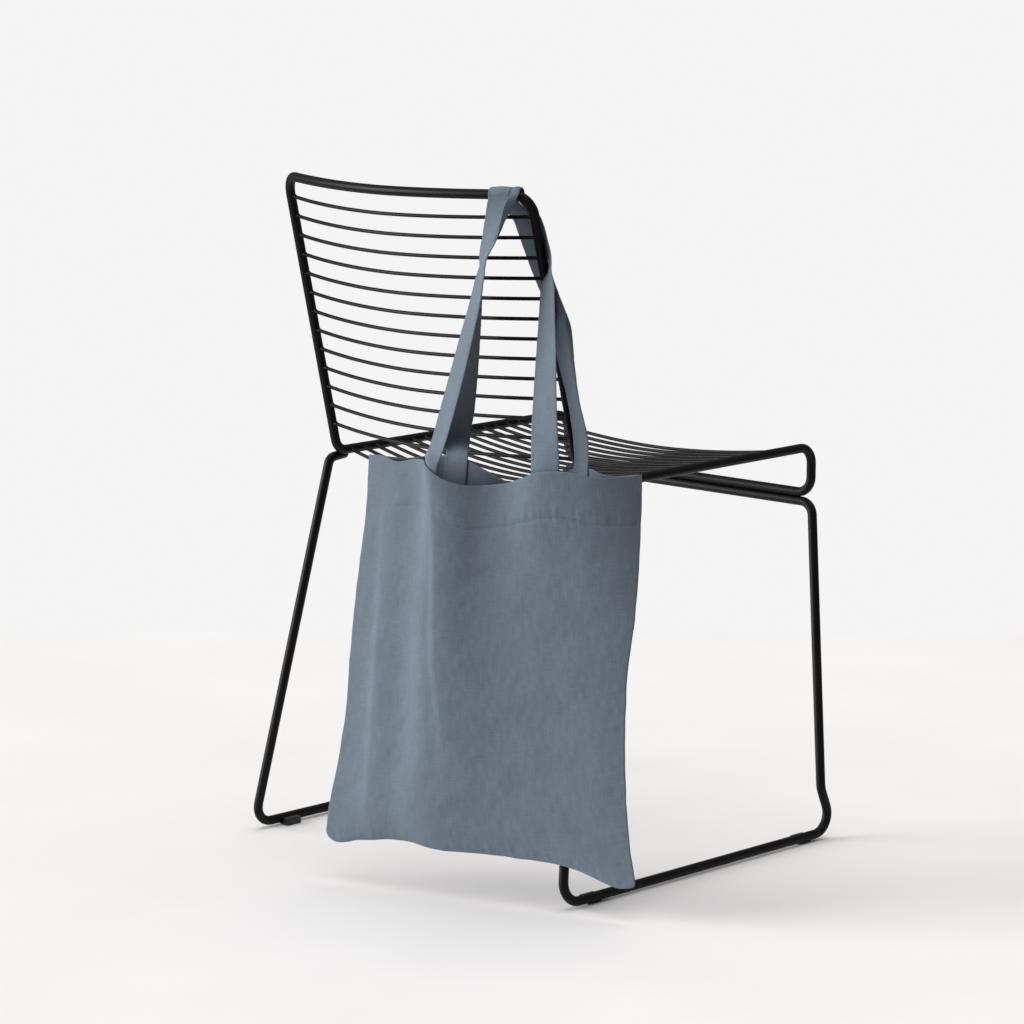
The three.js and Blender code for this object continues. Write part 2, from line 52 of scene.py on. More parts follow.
# Steel chair: gauges of rod and wire, the sides they are drawn with, and where they run
ROD = 11
ROD_SIDES = 28
WIRE = 4.2
WIRE_SIDES = 14
CORNER_STEPS = 10
BACK = {
    "half_width": 195, "y": -78, "z": 784.5, "bow": 42, "sag": 3.5, "power": 1.8,
    "radius": 25, "reach": 32, "stops": 41,
}
SEAT = {"half_width": 198.3, "rear_z": 455, "front_y": 395, "front_z": 459.3, "radius": 17}
APRON = {"z": 403, "radius": 20}
BASE = {
    "stub_x": 204.2, "stub_y": 21, "stub_z": 449.6, "stub_radius": 10,
    "leg_top_y": -7, "leg_top_z": 446.85, "front_top_z": 392.25, "top_x": 200, "top_radius": 18,
    "knee_y": 353.5, "knee_z": 62, "foot_x": 254.2, "foot_radius": 22,
    "rear_y": -88.3, "front_y": 377, "runner_z": 7.5,
}
BACK_WIRES = {"count": 13, "first": 25.6, "pitch": 23.2, "bow_top": 43, "bow_low": 31, "sag": 5, "power": 1.8}
SEAT_WIRES = {"count": 17, "front_y": 339.5, "pitch": 20.1, "sag_rear": 28, "sag_front": 15, "power": 1.85}
GLIDE = {"side": 8, "lip": 1.7, "softened": 0.7}

# Linen tote: panels with a deep hem at the mouth, and two straps sewn inside the hems. Cloth is
# measured from its middle surface outwards and inwards, and a panel's length down its middle. At
# a seam that surface lies at_seam from the bag's middle plane, and within calm of it nothing stands out
PANEL = {"width": 392, "length": 436, "columns": 168, "rows": 176}
CLOTH = {
    "outer": 0.7, "inner": 0.35, "hem_inner": 1.5, "hem": 50, "fold": 1.5,
    "corner": 6, "rim": 1.1, "at_seam": 0.42, "calm": 6,
}
STRAP = {"half": 0.8, "columns": 12, "step": 4, "rim": 0.9, "groove": 0.18, "groove_reach": 0.9}
# The straps' feet are placed by parts of a panel's width and length, and are four parts wide
FOOT = {"parts": 42, "half": 2, "length_parts": 22, "sewn": 2, "rows": 4, "gap": 0.15, "collar": 0.6}
STRAP_WIDTH = PANEL["width"] * 2 * FOOT["half"] / FOOT["parts"]
STITCH = {
    "length": 2.9, "radius": 0.32, "sides": 6, "pitch": 3.6, "inset": 3.5,
    "hem_end": 4, "hem_sunk": 0.05, "strap_end": 3, "strap_sunk": 0.12,
}

# Where the bag hangs: a point at the rail, its turn and lean in degrees, and the drop to its mouth
HANG = {"x": 155, "y": -90, "z": 785, "turn": 17.4, "lean": 2.54, "drop": 295.7}

# Side edges of the hanging bag, measured across from the point where it hangs
OUTLINE = table(
    ("down", "left", "right"),
    (0, -152.5, 181.5),
    (50, -154.5, 181.5),
    (100, -159.5, 180.5),
    (150, -166, 177.5),
    (220, -172.5, 170),
    (290, -177.5, 169),
    (350, -186.5, 172),
    (400, -197, 177),
    (450, -203, 187),
)
# Lower edge: how far below the mouth it lies, at shares of the width
BOTTOM = table(
    ("across", "down"),
    (0, 436),
    (0.04, 443),
    (0.11, 438),
    (0.22, 431.5),
    (0.29, 431.5),
    (0.36, 436),
    (0.55, 434),
    (0.77, 435.5),
    (0.86, 443),
    (0.94, 453),
    (1, 450),
)
# Mouth: how far each panel's upper edge sags, at shares of the width
FRONT_TOP = table(
    ("across", "sag"),
    (0, 0),
    (0.06, -1),
    (0.12, 3.5),
    (0.2, -2),
    (0.3, 0),
    (0.37, 14),
    (0.45, 20),
    (0.56, 15.5),
    (0.62, 8),
    (0.69, -1),
    (0.78, -3),
    (0.86, 2),
    (1, -1.5),
)
BACK_TOP = table(
    ("across", "sag"),
    (0, 0),
    (0.12, 2),
    (0.2, -1),
    (0.31, 0),
    (0.4, 10),
    (0.5, 22),
    (0.58, 22),
    (0.65, 10),
    (0.7, 2),
    (0.79, 0),
    (0.87, 4),
    (1, -1.5),
)

# Folds: where the ridge runs at the mouth and at the bottom, and how far it spreads to its left and
# right, as shares of the width. Rises, and the puff of each panel, are given at these levels
LEVELS = (0, 0.3, 0.6, 0.9)
FRONT_FOLDS = table(
    ("name", "top", "low", "left", "right", "rise"),
    ("left handle ridge", 0.327, 0.34, 0.082, 0.22, (30, 16, 10, 5)),
    ("slope beside it", 0.36, 0.36, 0.14, 0.34, (0, 6, 11, 10)),
    ("ridge crease", 0.315, 0.44, 0.02, 0.11, (0.5, 4.2, 1.8, 0)),
    ("left crease", 0.085, 0.15, 0.024, 0.1, (0, 2.6, 3, 1.8)),
    ("mouth sag", 0.5, 0.5, 0.1, 0.12, (-8, -2, 0, 0)),
    ("right handle ridge", 0.71, 0.7, 0.12, 0.3, (20, 5, 0, 0)),
    ("left roll", 0.14, 0.14, 0.06, 0.1, (1, 3, 4, 4)),
)
BACK_FOLDS = table(
    ("name", "top", "low", "left", "right", "rise"),
    ("left handle ridge", 0.22, 0.28, 0.08, 0.09, (17, 8, 3, 0)),
    ("mouth sag", 0.5, 0.5, 0.11, 0.11, (-6, -3, 0, 0)),
    ("right handle ridge", 0.67, 0.72, 0.08, 0.1, (27, 10, 2, 0)),
    ("left roll", 0.1, 0.12, 0.05, 0.07, (0, 3, 4, 3)),
    ("right roll", 0.9, 0.86, 0.07, 0.05, (0, 3, 3, 2)),
)
FRONT_PUFF = (23, 15, 11, 8)
BACK_PUFF = (22, 15, 10, 8)
BELLY = {
    "crown": 2.6, "front_right": 3.6, "edge": 12, "turn_under": 0.84, "steepest": 0.85, "sag_ends": 0.4,
    "sway": 0.006, "sway_bends": 11, "sway_start": 40,
}

# Wrinkles: their height, the lengths of their waves, how far their middle lies from the seam, edge
# or row of stitches that draws them in, and how far they reach to both sides of it
WRINKLES = {
    "side_edge": {"height": 0.5, "waves": (29, 43, 71, 110), "middle": 0, "reach": 16},
    "low_edge": {"height": 0.5, "waves": (31, 47, 83), "middle": 0, "reach": 12},
    "side_puckers": {"height": 0.55, "waves": (8, 13, 19), "middle": 7, "reach": 9},
    "low_puckers": {"height": 0.5, "waves": (9, 14, 22), "middle": 6, "reach": 8},
    "hem_gathers": {"height": 0.6, "waves": (7, 10, 15, 26), "middle": -5, "reach": 10},
    "strap_edge": {"height": 0.22, "waves": (9, 14, 23), "middle": 0, "reach": 6},
}
HEM = {
    "gathers_left": 0.35, "gathers_from": 0.45, "gathers_over": 0.2,
    "groove": 1.1, "groove_least": 0.4, "groove_reach": 2.4,
}
DENTS = {
    "broad": 0.8, "broad_waves": (38, 45, 57, 70, 95, 120), "ends": 40,
    "fine": 0.22, "fine_waves": (12, 15, 19, 24),
}

# Free run of each strap: its middle, where its inner edge points (turn in plan, tilt upwards,
# in degrees) and its width as it shows there
COLUMNS = ("x", "y", "z", "turn", "tilt", "width")
FRONT_RISE = table(
    COLUMNS,
    (124, -152.4, 508, 339, 0, 36),
    (132.9, -143.6, 551, 340, 0, 36),
    (140.5, -136, 591, 339, 0, 36),
    (147.6, -128.8, 631, 336, 0, 36),
    (154, -122.1, 668, 332, 0, 36),
    (158, -118.2, 696, 327, 0, 35),
    (165, -117.5, 717, 319, 0, 31),
    (177.5, -113, 738, 312, 0, 24),
    (180, -105.5, 758, 296, 0, 16),
    (180.5, -99, 771, 262, 8, 11),
)
FRONT_FALL = table(
    COLUMNS,
    (183.4, -71, 770.6, 195, -10, 10),
    (188.4, -64, 757, 190, -22, 14),
    (192.6, -60.3, 743, 182, -30, 14),
    (198.6, -58.1, 729, 146, -36, 18),
    (207.4, -60.8, 715, 137, -24, 24),
    (215.3, -70, 701, 140, -10, 32),
    (217.5, -74.5, 690, 154, -3, 36),
    (220, -78, 674, 159, 0, 36),
    (223.7, -82.5, 650, 163, 0, 36),
    (230.6, -91, 610, 171, 0, 36),
    (238, -100.4, 568, 178, 0, 36),
    (245.3, -108.3, 529, 187, 0, 36),
)
BACK_RISE = table(
    COLUMNS,
    (91, -92.5, 506, 58, 0, 36),
    (94.5, -93.5, 521, 61, 0, 36),
    (100.3, -93, 535, 74, 0, 36),
    (113.1, -92.5, 577, 100, 0, 36),
    (122.6, -94.7, 624, 108, 0, 36),
    (131, -96, 665, 119, 0, 36),
    (137, -96.5, 693, 134, 0, 34),
    (141.2, -97, 715, 148, 0, 32),
    (151.5, -98, 737, 164, 0, 29),
    (159.5, -98.5, 758, 180, 0, 27),
    (163, -97.5, 772, 192, 0, 26),
)
BACK_FALL = table(
    COLUMNS,
    (163.2, -76.2, 770.8, 197, -10, 23.5),
    (171, -66, 758, 192, -14, 26),
    (172.1, -58, 744, 190, -17, 29),
    (175.3, -51, 724, 185, -19, 31),
    (179.6, -46.5, 701, 171, -20, 32),
    (187, -42, 678, 165, -18, 33),
    (198, -42.2, 659, 165, -8, 35),
    (211.5, -47, 644, 166, 0, 36),
    (213.8, -46.6, 629, 167, 0, 36),
    (217.6, -45.9, 602, 163, 0, 36),
    (224.4, -41.8, 561, 155, 0, 36),
    (232.5, -38.8, 520, 160, 0, 36),
)

# Each strap from foot to foot. It lies on the rail from the angle seated_from on, measured round
# the rod from the seat's side, and its width there is negative because it crosses turned over
FRONT_STRAP = {
    "feet": (12.6, 29.6), "rise": FRONT_RISE, "fall": FRONT_FALL,
    "seated_from": 160, "rail_x": 180.6, "rail_width": -9.4,
}
BACK_STRAP = {
    "feet": (12, 31), "rise": BACK_RISE, "fall": BACK_FALL,
    "seated_from": 200, "rail_x": 162.8, "rail_width": -25.4,
}
RAIL_CROSSING = {"to": -25, "stops": 16, "gap": 0.5, "crown": 1.2}

# Camera solved from the chair's rods, at the photograph's viewing angle
CAMERA = {"place": (2955.3, -2923.0, 1113.5), "down": 9.673, "yaw": 44.428, "lens": 129.42, "sensor": 36}
FLOOR_WIDTH = 2.5

# Row frame: the foremost seat wire gives where the chair's own frame lies in it
wire_low, wire_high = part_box("seat_wire_1")
SHIFT = np.array([
    (wire_low[0] + wire_high[0]) / 2,
    (wire_low[1] + wire_high[1]) / 2 - SEAT_WIRES["front_y"] / 1000,
    0,
])


def metres(points):
    """Points of the chair's frame in millimetres, as points of the row frame in metres."""
    return np.asarray(points, float) / 1000 + SHIFT


def mix(a, b, t):
    """The value a share t of the way from a to b."""
    return a + (b - a) * t


def smooth(t):
    """An even ease from 0 to 1."""
    t = np.clip(t, 0, 1)
    return t * t * (3 - 2 * t)


def along(rows, key, column, x):
    """Values of a table's column at x, on a smooth curve through its rows."""
    keys = np.array([row[key] for row in rows], float)
    values = np.array([row[column] for row in rows], float)
    last = len(rows) - 1
    before = np.maximum(np.arange(last + 1) - 1, 0)
    after = np.minimum(np.arange(last + 1) + 1, last)
    slopes = (values[after] - values[before]) / (keys[after] - keys[before])
    i = np.clip(np.searchsorted(keys, x, side="right") - 1, 0, last - 1)
    span = keys[i + 1] - keys[i]
    t = np.clip((x - keys[i]) / span, 0, 1)
    bent = span * slopes[i] * t * (1 - t) ** 2 - span * slopes[i + 1] * t * t * (1 - t)
    return mix(values[i], values[i + 1], t * t * (3 - 2 * t)) + bent


def ripple(s, lengths, seed):
    """An uneven wave along s, from -1 to 1, made of waves of these lengths."""
    draw = np.random.RandomState(seed)
    wave = sum(np.sin(2 * np.pi * s / length + draw.uniform(0, 6.28)) for length in lengths)
    return wave / len(lengths)


def crumple(s, t, lengths, seed):
    """Soft uneven dents over a sheet, from -1 to 1, with waves of these lengths in all directions."""
    draw = np.random.RandomState(seed)
    total = np.zeros(np.broadcast(s, t).shape)
    for length in lengths:
        way, phase = draw.uniform(0, np.pi), draw.uniform(0, 6.28)
        wander = 1.2 * np.sin((s * np.sin(way) - t * np.cos(way)) * 3.1 / length + phase * 2)
        total += np.sin((s * np.cos(way) + t * np.sin(way)) * 2 * np.pi / length + phase + wander)
    return total / len(lengths)


def near(distance, middle, reach):
    """A share that is 1 at the middle and fades away within its reach."""
    return np.exp(-(((distance - middle) / reach) ** 2))


def wrinkle(kind, run, distance, seed):
    """Heights of one kind of wrinkle along a run, at a distance from what draws the cloth in."""
    part = WRINKLES[kind]
    return part["height"] * ripple(run, part["waves"], seed) * near(distance, part["middle"], part["reach"])


# Materials

def colour(code):
    """A linear colour from an sRGB hex value."""
    parts = [int(code[i:i + 2], 16) / 255 for i in (1, 3, 5)]
    return (*[p / 12.92 if p <= 0.04045 else ((p + 0.055) / 1.055) ** 2.4 for p in parts], 1)


def material(name):
    """A new material with its tree of nodes and its shader."""
    made = bpy.data.materials.new(name)
    made.use_nodes = True
    tree = made.node_tree
    return made, tree, tree.nodes["Principled BSDF"]


def node(tree, kind, settings=None, **links):
    """Adds a node; settings set its properties or sockets, and links join its sockets, i0 the first."""
    made = tree.nodes.new(kind)
    for key, value in (settings or {}).items():
        if isinstance(key, str) and hasattr(made, key):
            setattr(made, key, value)
        else:
            made.inputs[key].default_value = value
    for key, source in links.items():
        socket = made.inputs[int(key[1:])] if key[0] == "i" and key[1:].isdigit() else made.inputs[key]
        tree.links.new(source, socket)
    return made


def ramp(tree, source, stops):
    """A colour ramp with these (position, colour) stops."""
    made = node(tree, "ShaderNodeValToRGB", i0=source)
    points = made.color_ramp.elements
    while len(points) < len(stops):
        points.new(0.5)
    for point, (position, tint) in zip(points, stops):
        point.position = position
        point.color = tint
    return made


def powder_coated_steel():
    """Black polyester powder coat on steel: even, satin, with a faint orange peel."""
    made, tree, shader = material("black_powder_coated_steel")
    place = node(tree, "ShaderNodeTexCoord").outputs["Object"]
    # Orange peel of a baked powder coat is 1 to 2 mm across
    peel = node(tree, "ShaderNodeTexNoise", {"Scale": 600, "Detail": 3}, Vector=place)
    # Handling leaves slightly shinier and duller places some 40 mm long
    rubbed = node(tree, "ShaderNodeTexNoise", {"Scale": 25, "Detail": 2}, Vector=place)
    tone = ramp(tree, rubbed.outputs["Fac"], [(0.35, colour("#070708")), (0.7, colour("#0b0b0c"))])
    gloss = node(tree, "ShaderNodeMapRange", {"To Min": 0.36, "To Max": 0.5}, Value=rubbed.outputs["Fac"])
    bump = node(tree, "ShaderNodeBump", {"Strength": 0.12, "Distance": 0.0002}, Height=peel.outputs["Fac"])
    tree.links.new(tone.outputs["Color"], shader.inputs["Base Color"])
    tree.links.new(gloss.outputs["Result"], shader.inputs["Roughness"])
    tree.links.new(bump.outputs["Normal"], shader.inputs["Normal"])
    shader.inputs["Specular IOR Level"].default_value = 0.15
    shader.inputs["IOR"].default_value = 1.5
    return made


def moulded_polypropylene():
    """Dark polypropylene of the glides: matte, with the fine grain of its mould."""
    made, tree, shader = material("moulded_polypropylene")
    place = node(tree, "ShaderNodeTexCoord").outputs["Object"]
    # Spark-eroded mould grain is about 0.3 mm
    grain = node(tree, "ShaderNodeTexNoise", {"Scale": 2800, "Detail": 2}, Vector=place)
    scuffs = node(tree, "ShaderNodeTexNoise", {"Scale": 180, "Detail": 4}, Vector=place)
    tone = ramp(tree, scuffs.outputs["Fac"], [(0.4, colour("#1c1d1f")), (0.75, colour("#2a2b2d"))])
    bump = node(tree, "ShaderNodeBump", {"Strength": 0.2, "Distance": 0.0001}, Height=grain.outputs["Fac"])
    tree.links.new(tone.outputs["Color"], shader.inputs["Base Color"])
    tree.links.new(bump.outputs["Normal"], shader.inputs["Normal"])
    shader.inputs["Roughness"].default_value = 0.55
    shader.inputs["IOR"].default_value = 1.49
    return made


def washed_linen(name, light, mid, dark):
    """Stone-washed linen in plain weave: matte, slubby, with an uneven garment dye."""
    made, tree, shader = material(name)
    # The UV map holds the flat cloth in metres: across the weft threads, and along the warp
    flat = node(tree, "ShaderNodeTexCoord").outputs["UV"]
    # Threads are 0.6 mm apart. They are drawn 1.1 mm apart, because finer ones don't show
    weft = node(tree, "ShaderNodeMapping", {"Scale": (60, 900, 1)}, Vector=flat)
    warp = node(tree, "ShaderNodeMapping", {"Scale": (900, 50, 1), "Location": (3.1, 7.7, 0)}, Vector=flat)
    slubs = {"Scale": 1, "Detail": 3, "Roughness": 0.6}
    across = node(tree, "ShaderNodeTexNoise", slubs, Vector=weft.outputs[0]).outputs["Fac"]
    upright = node(tree, "ShaderNodeTexNoise", slubs, Vector=warp.outputs[0]).outputs["Fac"]
    threads = node(tree, "ShaderNodeMath", {"operation": "ADD"}, i0=across, i1=upright).outputs[0]
    # Washing leaves cloudy lighter and darker places 30 to 80 mm across
    cloudy = {"Scale": 22, "Detail": 4, "Roughness": 0.55}
    cloud = node(tree, "ShaderNodeTexNoise", cloudy, Vector=flat).outputs["Fac"]
    faded = node(tree, "ShaderNodeMath", {"operation": "MULTIPLY_ADD", 1: 0.55}, i0=cloud, i2=threads)
    spread = node(tree, "ShaderNodeMapRange", {"From Min": 0.75, "From Max": 1.8}, Value=faded.outputs[0])
    tone = ramp(tree, spread.outputs["Result"], [(0, dark), (0.5, mid), (1, light)])
    bump = node(tree, "ShaderNodeBump", {"Strength": 0.3, "Distance": 0.0003}, Height=threads)
    tree.links.new(tone.outputs["Color"], shader.inputs["Base Color"])
    tree.links.new(bump.outputs["Normal"], shader.inputs["Normal"])
    shader.inputs["Roughness"].default_value = 0.92
    shader.inputs["Specular IOR Level"].default_value = 0.25
    shader.inputs["Sheen Weight"].default_value = 0.12
    shader.inputs["Sheen Roughness"].default_value = 0.6
    shader.inputs["Sheen Tint"].default_value = colour("#b9c4d0")
    return made


def sewing_thread():
    """Spun polyester thread, a shade lighter than the cloth, with its twist."""
    made, tree, shader = material("spun_polyester_thread")
    place = node(tree, "ShaderNodeTexCoord").outputs["Object"]
    twist = node(tree, "ShaderNodeTexNoise", {"Scale": 900, "Detail": 2}, Vector=place)
    tone = ramp(tree, twist.outputs["Fac"], [(0.3, colour("#4e5863")), (0.7, colour("#636d79"))])
    tree.links.new(tone.outputs["Color"], shader.inputs["Base Color"])
    shader.inputs["Roughness"].default_value = 0.7
    shader.inputs["Sheen Weight"].default_value = 0.1
    return made


STEEL = powder_coated_steel()
PLASTIC = moulded_polypropylene()
LINEN = washed_linen("washed_linen_dusty_blue", colour("#6b7683"), colour("#606b76"), colour("#565f69"))
THREAD = sewing_thread()


def finish_piece(piece, name, finish, slot, *nodes):
    """Names a piece, gives it its finish and says what it rides on and which nodes it replaces."""
    piece.name = name
    piece.data.name = name
    piece.data.materials.clear()
    piece.data.materials.append(finish)
    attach(piece, "root")
    if nodes:
        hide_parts(*nodes)
    return piece


def select_only(piece):
    """Makes a piece the active and only selected one."""
    bpy.ops.object.select_all(action="DESELECT")
    bpy.context.view_layer.objects.active = piece
    piece.select_set(True)


# Chair

def rounded_run(corners):
    """Rounds the corners (point, radius) of a run; a corner of radius 0 stays as it is."""
    run = []
    for i, (at, radius) in enumerate(corners):
        at = Vector(at)
        if not radius:
            run.append(at)
            continue
        before = (Vector(corners[i - 1][0]) - at).normalized()
        after = (Vector(corners[(i + 1) % len(corners)][0]) - at).normalized()
        half = before.angle(after) / 2
        centre = at + (before + after).normalized() * (radius / math.sin(half))
        start = at + before * (radius / math.tan(half)) - centre
        end = at + after * (radius / math.tan(half)) - centre
        for k in range(CORNER_STEPS + 1):
            run.append(centre + start.slerp(end, k / CORNER_STEPS) * radius)
    return [tuple(p) for p in run]


def bent_rod(name, run, diameter, sides, *nodes, closed=False, widths=None):
    """A round rod drawn along a run of points; widths swell it where it is welded."""
    bpy.ops.object.select_all(action="DESELECT")
    bpy.ops.curve.primitive_bezier_curve_add(location=(0, 0, 0))
    rod = bpy.context.object
    curve = rod.data
    curve.splines.clear()
    spline = curve.splines.new("POLY")
    spline.points.add(len(run) - 1)
    for i, (point, place) in enumerate(zip(spline.points, metres(run))):
        point.co = (*place, 1)
        point.radius = widths[i] if widths else 1
    spline.use_cyclic_u = closed
    curve.dimensions = "3D"
    curve.bevel_depth = diameter / 2000
    curve.bevel_resolution = sides // 2 - 2
    curve.use_fill_caps = not closed
    bpy.ops.object.convert(target="MESH")
    tidy_shell(rod, angle=35)
    return finish_piece(rod, name, STEEL, "painted_steel", *nodes)


def tidy_shell(piece, angle):
    """Merges doubles, turns the faces outwards and shades them smooth up to an angle."""
    select_only(piece)
    bpy.ops.object.mode_set(mode="EDIT")
    bpy.ops.mesh.select_all(action="SELECT")
    bpy.ops.mesh.remove_doubles(threshold=1e-6)
    bpy.ops.mesh.normals_make_consistent(inside=False)
    bpy.ops.object.mode_set(mode="OBJECT")
    bpy.ops.object.shade_smooth_by_angle(angle=math.radians(angle))


def rail_dip(x):
    """Share of the rail's bow and sag at x: 1 in its middle, 0 at the side rods."""
    return 1 - (np.abs(x) / BACK["half_width"]) ** BACK["power"]


def rail_point(x):
    """Middle of the bowed top rail at x."""
    return np.array([x, BACK["y"] - BACK["bow"] * rail_dip(x), BACK["z"] - BACK["sag"] * rail_dip(x)])


def mirrored(corners):
    """The same corners on the left, in the order that carries a run on."""
    return [((-x, y, z), radius) for (x, y, z), radius in reversed(corners)]


def seat_and_back_frame():
    """The closed loop of rod: top rail, side rods, and the seat's edge with its turned-down front."""
    reach = BACK["half_width"] - BACK["reach"]
    rail = [(tuple(rail_point(x)), 0) for x in np.linspace(-reach, reach, BACK["stops"])]
    right = [
        ((BACK["half_width"], BACK["y"], BACK["z"]), BACK["radius"]),
        ((SEAT["half_width"], 0, SEAT["rear_z"]), SEAT["radius"]),
        ((SEAT["half_width"], SEAT["front_y"], SEAT["front_z"]), APRON["radius"]),
        ((SEAT["half_width"], SEAT["front_y"], APRON["z"]), APRON["radius"]),
    ]
    run = rounded_run(rail + right + mirrored(right))
    bent_rod("seat_and_back_rod", run, ROD, ROD_SIDES, "seat_back_frame", closed=True)


def sled_base():
    """The rod of the base: from one rear stub down, along both runners, and up to the other stub."""
    right = [
        ((BASE["top_x"], SEAT["front_y"], BASE["front_top_z"]), BASE["top_radius"]),
        ((BASE["foot_x"], BASE["knee_y"], BASE["knee_z"]), BASE["foot_radius"]),
        ((BASE["foot_x"], BASE["front_y"], BASE["runner_z"]), BASE["foot_radius"]),
        ((BASE["foot_x"], BASE["rear_y"], BASE["runner_z"]), BASE["foot_radius"]),
        ((BASE["stub_x"], BASE["leg_top_y"], BASE["leg_top_z"]), BASE["stub_radius"]),
        ((BASE["stub_x"], BASE["stub_y"], BASE["stub_z"]), 0),
    ]
    run = [Vector(place) for place in rounded_run(mirrored(right) + right)]
    # Each end is ground off to a low bead where it is welded under the side rod
    bead = [(0, 0.35), (1.2, 0.68), (2.8, 0.9), (4.5, 1)]
    ends = []
    for tip, inward in ((run[0], run[1]), (run[-1], run[-2])):
        way = (inward - tip).normalized()
        ends.append([tip + way * distance for distance, _ in bead])
    widths = [width for _, width in bead]
    whole = ends[0] + run[1:-1] + ends[1][::-1]
    swell = widths + [1] * (len(run) - 2) + widths[::-1]
    bent_rod("sled_base_rod", whole, ROD, ROD_SIDES, "sled_base", widths=swell)


def cross_wire(name, end, bow, sag, power, cad_node):
    """A wire between the side rods, flared at both ends by its resistance welds."""
    x_end, y_end, z_end = end
    # Weld flare: distance from the rod, and how far the wire is swollen there
    flare = [(0, 1.5), (0.7, 1.25), (1.6, 1.08), (3, 1)]
    end_stops = [(1 - distance / x_end, swell) for distance, swell in flare]
    middle_stops = [(u, 1) for u in np.linspace(-0.96, 0.96, 25)]
    stops = [(-u, swell) for u, swell in end_stops] + middle_stops + end_stops[::-1]
    run = []
    for u, _ in stops:
        dip = 1 - abs(u) ** power
        run.append((u * x_end, y_end - bow * dip, z_end - sag * dip))
    bent_rod(name, run, WIRE, WIRE_SIDES, cad_node, widths=[swell for _, swell in stops])


def back_wires():
    """The back's wires, from the top down; the lower ones bow less."""
    length = math.hypot(BACK["y"], BACK["z"] - SEAT["rear_z"])
    for i in range(BACK_WIRES["count"]):
        t = (BACK_WIRES["first"] + i * BACK_WIRES["pitch"]) / length
        x = mix(BACK["half_width"], SEAT["half_width"], t) - ROD / 2
        end = (x, mix(BACK["y"], 0, t), mix(BACK["z"], SEAT["rear_z"], t))
        bow = mix(BACK_WIRES["bow_top"], BACK_WIRES["bow_low"], t)
        name = f"back_wire_{i + 1}"
        cross_wire(f"{name}_round", end, bow, BACK_WIRES["sag"], BACK_WIRES["power"], name)


def seat_wires():
    """The seat's wires, from the front to the rear; the rear ones sag more."""
    for i in range(SEAT_WIRES["count"]):
        y = SEAT_WIRES["front_y"] - i * SEAT_WIRES["pitch"]
        z = mix(SEAT["rear_z"], SEAT["front_z"], y / SEAT["front_y"])
        sag = mix(SEAT_WIRES["sag_rear"], SEAT_WIRES["sag_front"], y / SEAT_WIRES["front_y"])
        name = f"seat_wire_{i + 1}"
        cross_wire(f"{name}_round", (SEAT["half_width"] - ROD / 2, y, z), 0, sag, SEAT_WIRES["power"], name)


def glide(cad_node, hand):
    """A moulded glide: a block beside the runner with a lip under it and softened edges."""
    low, high = (Vector(corner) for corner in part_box(cad_node))
    side, lip = GLIDE["side"] / 1000, GLIDE["lip"] / 1000
    size = high - low
    block_x = low.x + side / 2 if hand > 0 else high.x - side / 2
    bpy.ops.object.select_all(action="DESELECT")
    bpy.ops.mesh.primitive_cube_add(size=1, location=(block_x, (low.y + high.y) / 2, (low.z + high.z) / 2))
    piece = bpy.context.object
    piece.scale = (side, size.y, size.z)
    bpy.ops.object.transform_apply(location=True, rotation=True, scale=True)
    bpy.ops.object.mode_set(mode="EDIT")
    bpy.ops.mesh.select_all(action="SELECT")
    bpy.ops.mesh.bisect(plane_co=(0, 0, low.z + lip), plane_no=(0, 0, 1))
    bpy.ops.mesh.select_all(action="DESELECT")
    bpy.ops.object.mode_set(mode="OBJECT")
    for face in piece.data.polygons:
        face.select = face.normal.x * hand > 0.9 and face.center.z < low.z + lip
    bpy.ops.object.mode_set(mode="EDIT")
    bpy.ops.mesh.select_mode(type="FACE")
    reach = hand * (size.x - side)
    bpy.ops.mesh.extrude_region_move(TRANSFORM_OT_translate={"value": (reach, 0, 0)})
    bpy.ops.object.mode_set(mode="OBJECT")
    bevel = piece.modifiers.new("softened edges", "BEVEL")
    bevel.width = GLIDE["softened"] / 1000
    bevel.segments = 3
    bpy.ops.object.modifier_apply(modifier=bevel.name)
    tidy_shell(piece, angle=40)
    finish_piece(piece, f"{cad_node}_moulding", PLASTIC, "glide_plastic", cad_node)


# Bag: its axes as it hangs, and the cloth's surface

TURN, LEAN = math.radians(HANG["turn"]), math.radians(HANG["lean"])
ACROSS = np.array([math.cos(TURN), math.sin(TURN), 0])
OUT = np.array([math.sin(TURN) * math.cos(LEAN), -math.cos(TURN) * math.cos(LEAN), math.sin(LEAN)])
DOWN = np.cross(ACROSS, OUT)


def in_bag(across, out, down):
    """Points of the hanging bag: across, out of its middle plane, and down from its mouth."""
    place = np.array([HANG["x"], HANG["y"], HANG["z"]])
    parts = (across[..., None] * ACROSS, out[..., None] * OUT, (HANG["drop"] + down)[..., None] * DOWN)
    return place + sum(parts)


def level(values, v):
    """Value at v of what is given at the levels."""
    rows = table(("at", "value"), *zip(LEVELS, values))
    return along(rows, "at", "value", np.minimum(v, LEVELS[-1]))


def relief(folds, puff, crown_right, u, v):
    """How far a panel stands out of the bag's middle plane, u across and v down from 0 to 1.

    A larger crown_right keeps it full for longer towards its right edge.
    """
    edge = 1 - np.abs(2 * u - 1) ** BELLY["edge"]
    crown = 1 - np.abs(2 * u - 1) ** np.where(u < 0.5, BELLY["crown"], crown_right)
    low = np.clip((v - BELLY["turn_under"]) / (1 - BELLY["turn_under"]), 0, 1)
    out = level(puff, v) * crown
    for fold in folds:
        sway = BELLY["sway"] * np.sin(BELLY["sway_bends"] * v + BELLY["sway_start"] * fold["top"])
        off = u - mix(fold["top"], fold["low"], v) - sway
        reach = np.where(off < 0, fold["left"], fold["right"])
        out = out + level(fold["rise"], v) * near(off, 0, reach) * edge
    return out * np.sqrt(1 - low * low)


